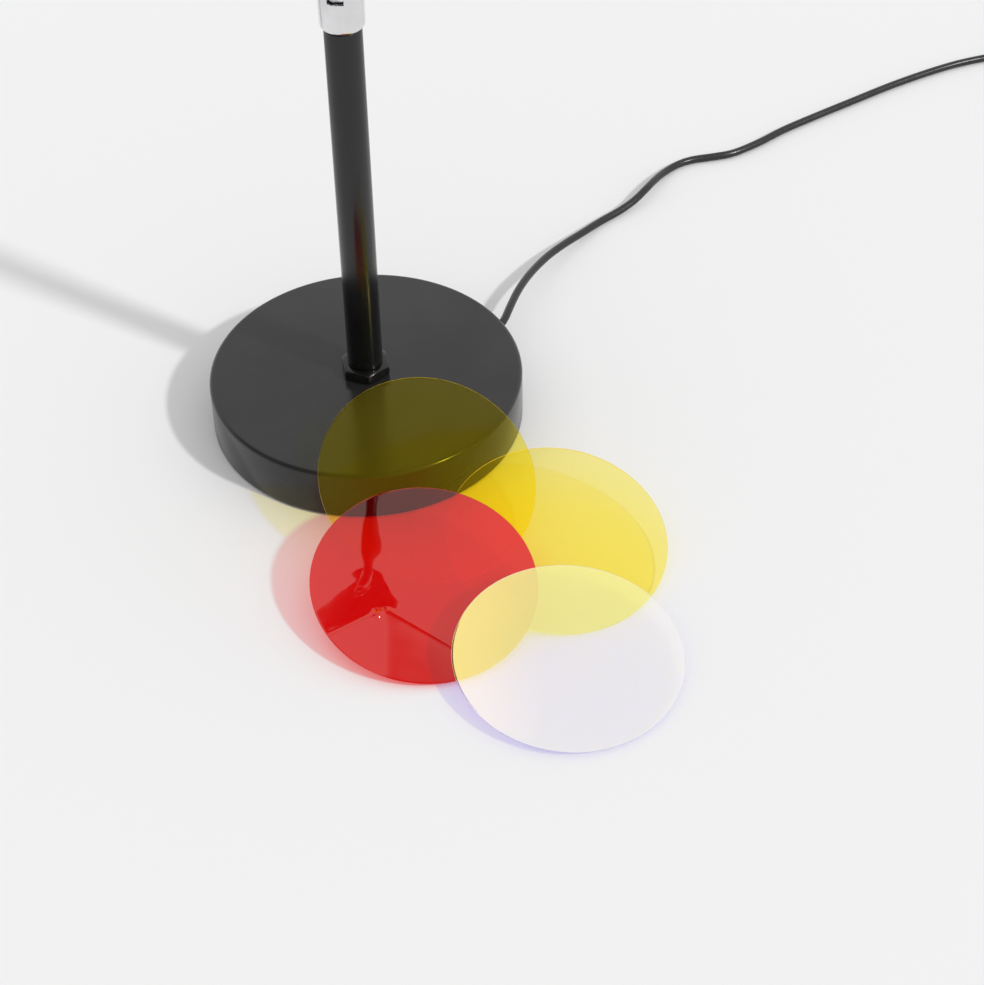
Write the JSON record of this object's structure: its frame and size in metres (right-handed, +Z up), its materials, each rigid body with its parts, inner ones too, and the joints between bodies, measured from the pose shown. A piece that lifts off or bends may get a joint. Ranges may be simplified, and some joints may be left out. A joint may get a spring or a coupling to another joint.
{
  "type": "sunset projector table lamp",
  "caption": "Glow projector lamp: weighted round base, straight stem, knuckle, can-shaped head with a lens, loose colour films leaning on the base, and a lead with a switch and a plug.",
  "frame": {"origin": "middle of the base's underside, on the table", "axes": "+Z up along the stem; -Y towards the loose films; +X towards the switch in the lead"},
  "size_m": [0.4953, 0.4259, 0.3055],
  "materials": {
    "black_paint": "fine satin black paint",
    "gloss_black": "smooth black, half gloss",
    "chrome": "bright plated",
    "steel": "plain",
    "zinc": "zinc plated",
    "cast_iron": "as cast",
    "foam": "matt closed-cell foam rubber",
    "black_pvc": "smooth, half gloss",
    "black_plastic": "satin",
    "aluminium": "machined",
    "board_white": "white",
    "phosphor": "yellow phosphor",
    "mirror_cup": "metallised",
    "lens_clear": "polished",
    "film_yellow": "clear yellow film, glossy",
    "film_red": "clear red film, glossy",
    "film_pale": "almost clear film with a colour-shift coating"
  },
  "bodies": {
    "base": {"base_shell": "black_paint", "base_weight": "cast_iron", "base_plate": "zinc", "foot_pad": "foam", "base_screw_1": "zinc", "base_screw_2": "zinc", "base_screw_3": "zinc", "stem_nut": "gloss_black", "stem_nipple": "zinc", "lock_washer": "steel", "lock_nut": "steel", "stem_tube": "gloss_black", "top_nipple": "zinc", "cord_grommet": "black_pvc", "cord_clamp": "black_plastic", "clamp_screw_1": "zinc", "clamp_screw_2": "zinc", "inner_lead": "black_pvc", "cord_run": "black_pvc", "switch_base": "black_plastic", "switch_cover": "black_plastic", "switch_block": "board_white", "cord_link": "black_pvc", "cord_coil": "black_pvc", "cord_tie": "black_pvc", "cord_tail": "black_pvc", "plug_body": "black_plastic", "plug_shell": "steel", "plug_tongue": "board_white"},
    "swivel": {"swivel_yoke": "chrome", "pivot_screw": "steel", "pivot_nut": "steel"},
    "head": {"swivel_tongue": "chrome", "saddle_washer": "black_plastic", "stud_washer": "steel", "stud_nut": "steel", "head_housing": "black_paint", "rear_cover": "black_paint", "rear_screw_1": "steel", "rear_screw_2": "steel", "rear_screw_3": "steel", "heat_sink": "aluminium", "led_board": "board_white", "led_emitter": "phosphor", "reflector": "mirror_cup", "lens_holder": "black_plastic", "lens": "lens_clear", "lens_ring": "black_plastic", "head_lead": "black_pvc"},
    "filter_ring": {"filter_ring": "black_paint"},
    "film_yellow_1": {"film_yellow_1": "film_yellow"},
    "film_yellow_2": {"film_yellow_2": "film_yellow"},
    "film_red": {"film_red": "film_red"},
    "film_dichroic": {"film_dichroic": "film_pale"},
    "switch_button": {"switch_button": "black_plastic"}
  },
  "joints": [
    {"name": "swivel_turn", "type": "hinge", "parent": "base", "child": "swivel", "pos_m": [0, 0, 0.1744], "axis": [0, 0, 1], "range_deg": [-170, 170]},
    {"name": "head_tilt", "type": "hinge", "parent": "swivel", "child": "head", "pos_m": [0, 0, 0.1964], "axis": [0.9799, -0.1994, 0], "range_deg": [-90, 90]},
    {"name": "filter_ring_pull", "type": "slide", "parent": "head", "child": "filter_ring", "axis": [-0.1994, -0.9799, 0], "range_m": [0, 0.025]},
    {"name": "film_yellow_1_lift", "type": "slide", "parent": "base", "child": "film_yellow_1", "axis": [0, 0, 1], "range_m": [0, 0.03]},
    {"name": "film_yellow_2_lift", "type": "slide", "parent": "film_yellow_1", "child": "film_yellow_2", "axis": [0, 0, 1], "range_m": [0, 0.03]},
    {"name": "film_red_lift", "type": "slide", "parent": "film_yellow_2", "child": "film_red", "axis": [0, 0, 1], "range_m": [0, 0.03]},
    {"name": "film_dichroic_lift", "type": "slide", "parent": "film_red", "child": "film_dichroic", "axis": [0, 0, 1], "range_m": [0, 0.03]},
    {"name": "button_press", "type": "slide", "parent": "base", "child": "switch_button", "axis": [0, 0, -1], "range_m": [0, 0.0015], "stiffness_N_per_m": 400}
  ]
}
